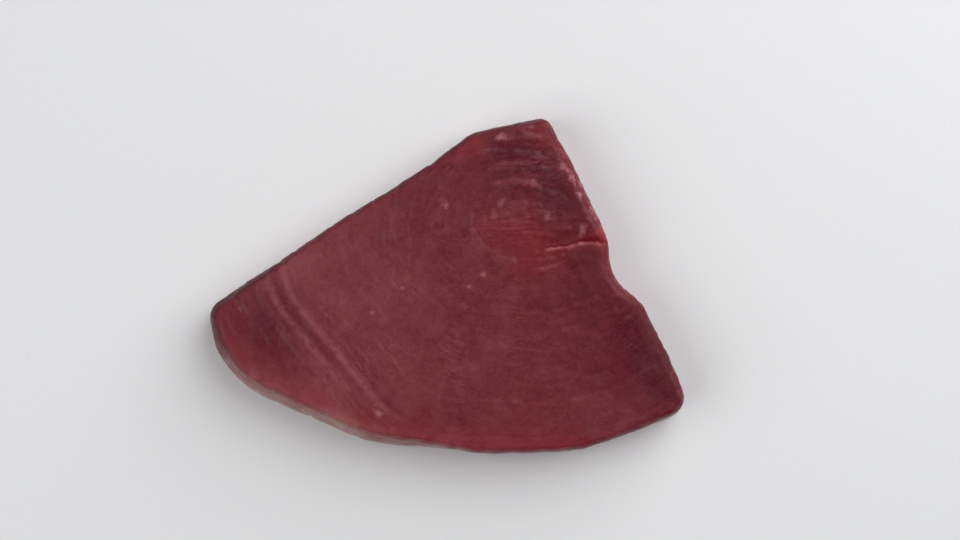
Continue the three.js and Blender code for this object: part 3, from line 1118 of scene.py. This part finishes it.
def flesh_parts(tree, mask_names):
    """Every mask and pattern that the flesh's colour, gloss and bump are made of, by name."""
    part = {}
    for name in mask_names:
        part[name] = add(tree, "ShaderNodeAttribute", attribute_name=name).outputs["Fac"]
    metres = add(tree, "ShaderNodeTexCoord").outputs["Object"]
    at = vectors(tree, "MULTIPLY", metres, (1 / MM, 1 / MM, 1 / MM))
    for name, (scale, detail, roughness, upright) in CLOUDS.items():
        drawn = at if upright == 1.0 else vectors(tree, "MULTIPLY", at, (1.0, 1.0, upright))
        part[name] = clouds(tree, drawn, scale, detail, roughness)
    part |= use(tree, fibre_ends(), {"Place": at}).items()
    part |= use(tree, ring_marks(), {"Place": at, "Ring": part["ring"]}).items()
    stroke_group = strokes()
    for name, (degrees, length, width) in STROKES.items():
        inputs = {"Place": at, "Turn": math.radians(degrees), "Length": length, "Width": width}
        part[name] = use(tree, stroke_group, inputs)["Strokes"]

    part["Mottled spots"] = maths(tree, "ADD", part["Mottle"], part["Spots"])
    tears = maths(tree, "MULTIPLY", part["Tears"], FILM_TEARS)
    spots = maths(tree, "MULTIPLY", part["Spots"], FILM_SPOTS)
    part["Film"] = maths(tree, "ADD", tears, spots)
    for name, (source, *reading) in READINGS.items():
        part[name] = ramped(tree, part[source], *reading)
    part["Lined"] = maths(tree, "MULTIPLY", part["lined"], part["Fading"])
    sheet = maths(tree, "MULTIPLY_ADD", part["arcs"], SHEET_IN_ARCS, SHEET_ON_FACE)
    part["Sheet strength"] = maths(tree, "MULTIPLY_ADD", part["wall"], SHEET_ON_WALL, sheet)
    return part


def together(tree, part, names):
    """The named parts, multiplied."""
    share, *others = [part[name] for name in names]
    for other in others:
        share = maths(tree, "MULTIPLY", share, other)
    return share


def flesh_tone(tree, part):
    """The flesh's own colour, which its patterns swing between dark and light."""
    tone = maths(tree, "MULTIPLY_ADD", part["light"], LIGHT_SHARE, MIDDLE_TONE)
    for pattern, amount, where in TONE_SWINGS:
        tone = maths(tree, "ADD", tone, swung(tree, part[pattern], amount, part.get(where, 1.0)))
    ramp = add(tree, "ShaderNodeValToRGB", {0: tone})
    ramp.color_ramp.elements[0].color = FLESH_DARK
    ramp.color_ramp.elements[1].color = FLESH_LIGHT
    ramp.color_ramp.elements.new(MIDDLE_TONE).color = FLESH
    return ramp.outputs[0]


def flesh_colour(tree, part):
    """The flesh with its sheets, seams, specks, membranes and gape laid over it."""
    colour = flesh_tone(tree, part)
    for tint, amount, *names in LAYERS:
        share = maths(tree, "MULTIPLY", together(tree, part, names), amount, clamp=True)
        colour = tinted(tree, share, colour, tint)
    return colour


def flesh_roughness(tree, part):
    """Wet and dry patches, drier down the walls and along the dull rim."""
    rough = maths(tree, "ADD", part["Wetness"], swung(tree, part["Grain"], GRAIN_ROUGHNESS, 1.0))
    rough = maths(tree, "MULTIPLY_ADD", part["wall"], WALL_ROUGHNESS, rough)
    return maths(tree, "MULTIPLY_ADD", part["dull"], DULL_ROUGHNESS, rough)


def flesh_bump(tree, part):
    height = part["Height"]
    for amount, *names in BUMPS:
        height = maths(tree, "MULTIPLY_ADD", together(tree, part, names), amount, height)
    inputs = {"Strength": BUMP_STRENGTH, "Distance": BUMP_HEIGHT * MM, "Height": height}
    return add(tree, "ShaderNodeBump", inputs).outputs[0]


def flesh_material(mask_names):
    material, tree, shader = new_material("Wet tuna flesh")
    part = flesh_parts(tree, mask_names)
    tree.links.new(flesh_colour(tree, part), shader["Base Color"])
    tree.links.new(flesh_roughness(tree, part), shader["Roughness"])
    tree.links.new(flesh_bump(tree, part), shader["Normal"])
    tree.links.new(maths(tree, "MULTIPLY_ADD", part["dull"], -COAT, COAT), shader["Coat Weight"])
    shader["Coat Roughness"].default_value = COAT_ROUGHNESS
    shader["Specular IOR Level"].default_value = SPECULAR
    shader["Subsurface Weight"].default_value = SUBSURFACE
    shader["Subsurface Radius"].default_value = SUBSURFACE_RADIUS
    shader["Subsurface Scale"].default_value = SUBSURFACE_REACH * MM
    return material


# ---------------------------------------------------------------- stage

FLOOR_REACH = 3000.0
FLOOR_COLOUR = rgb(232, 232, 233)
FLOOR_ROUGHNESS = 0.6
VIEW_WIDTH = 273.6  # what the view spans from side to side, in the plane of the face
CAMERA_RISE = 600.0  # above the face
CAMERA_OVER = (9.68, 4.50)
SENSOR = 36.0
LAMPS = {  # place, size across, and power in watts
    "soft key": ((550, 500, 620), 1200, 10.3),
    "soft fill": ((-750, -200, 750), 1100, 5.5),
}
STUDIO_COLOUR = (0.95, 0.97, 1.0, 1.0)
STUDIO_STRENGTH = 0.16


def make_floor():
    bm = bmesh.new()
    bmesh.ops.create_grid(bm, x_segments=1, y_segments=1, size=FLOOR_REACH * MM)
    mesh = new_mesh(bm, "floor")
    material, _, shader = new_material("Pale worktop")
    shader["Base Color"].default_value = FLOOR_COLOUR
    shader["Roughness"].default_value = FLOOR_ROUGHNESS
    mesh.materials.append(material)
    floor = into_scene("floor", mesh)


def make_camera():
    camera = bpy.data.cameras.new("camera")
    camera.sensor_width = SENSOR
    camera.lens = SENSOR * CAMERA_RISE / VIEW_WIDTH
    holder = into_scene("camera", camera)
    holder.location = Vector((*CAMERA_OVER, THICKNESS + CAMERA_RISE)) * MM
    bpy.context.scene.camera = holder


def soft_lamp(name, at, size, power):
    light = bpy.data.lights.new(name, "AREA")
    light.shape = "DISK"
    light.size = size * MM
    light.energy = power
    lamp = into_scene(name, light)
    lamp.location = Vector(at) * MM
    lamp.rotation_euler = (-lamp.location).to_track_quat("-Z", "Y").to_euler()


def light_studio():
    for name, (at, size, power) in LAMPS.items():
        soft_lamp(name, at, size, power)
    world = bpy.data.worlds.new("studio")
    world.use_nodes = True
    background = world.node_tree.nodes["Background"].inputs
    background["Color"].default_value = STUDIO_COLOUR
    background["Strength"].default_value = STUDIO_STRENGTH
    bpy.context.scene.world = world
    bpy.context.scene.view_settings.view_transform = "Standard"


make_steak()
make_floor()
make_camera()
light_studio()
